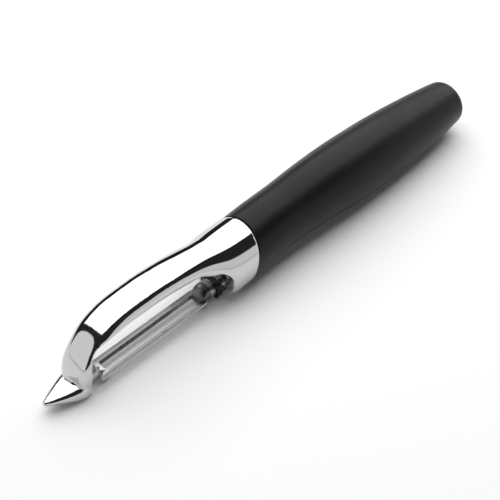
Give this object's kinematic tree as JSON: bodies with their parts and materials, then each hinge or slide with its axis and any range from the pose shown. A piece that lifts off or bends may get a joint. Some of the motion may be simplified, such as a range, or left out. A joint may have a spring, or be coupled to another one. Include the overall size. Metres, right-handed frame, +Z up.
{
  "type": "vegetable peeler",
  "caption": "Swivel vegetable peeler: a cast bow with a pointed eye remover arches over a slotted trough blade turning on two pivots, with a round soft-grip handle on a steel tang.",
  "frame": {"origin": "middle of the bounding box in X and Y, at the level of the table the peeler lies on", "axes": "+X along the peeler from the nose to the butt of the handle, +Z up from the blade to the bow, +Y across it, away from the side that the bush's tab is on"},
  "size_m": [0.195, 0.0236, 0.0251],
  "materials": {
    "polished_casting": "polished and chromed zinc casting",
    "satin_steel": "ground stainless strip with fine cross marks",
    "bright_steel": "turned stainless steel",
    "black_nylon": "moulded nylon, dull",
    "core_plastic": "moulded polypropylene",
    "soft_grip": "soft matt elastomer"
  },
  "bodies": {
    "handle": {"head_casting": "polished_casting", "spindle_bush": "black_nylon", "tang_rod": "bright_steel", "handle_core": "core_plastic", "handle_grip": "soft_grip"},
    "swivel_blade": {"blade": "satin_steel", "rear_spindle": "bright_steel", "front_pivot_pin": "bright_steel"}
  },
  "joints": [
    {"name": "blade_swivel", "type": "hinge", "parent": "handle", "child": "swivel_blade", "pos_m": [-0.0534, 0, 0.0034], "axis": [1, 0, 0], "range_deg": [-30, 30]}
  ]
}
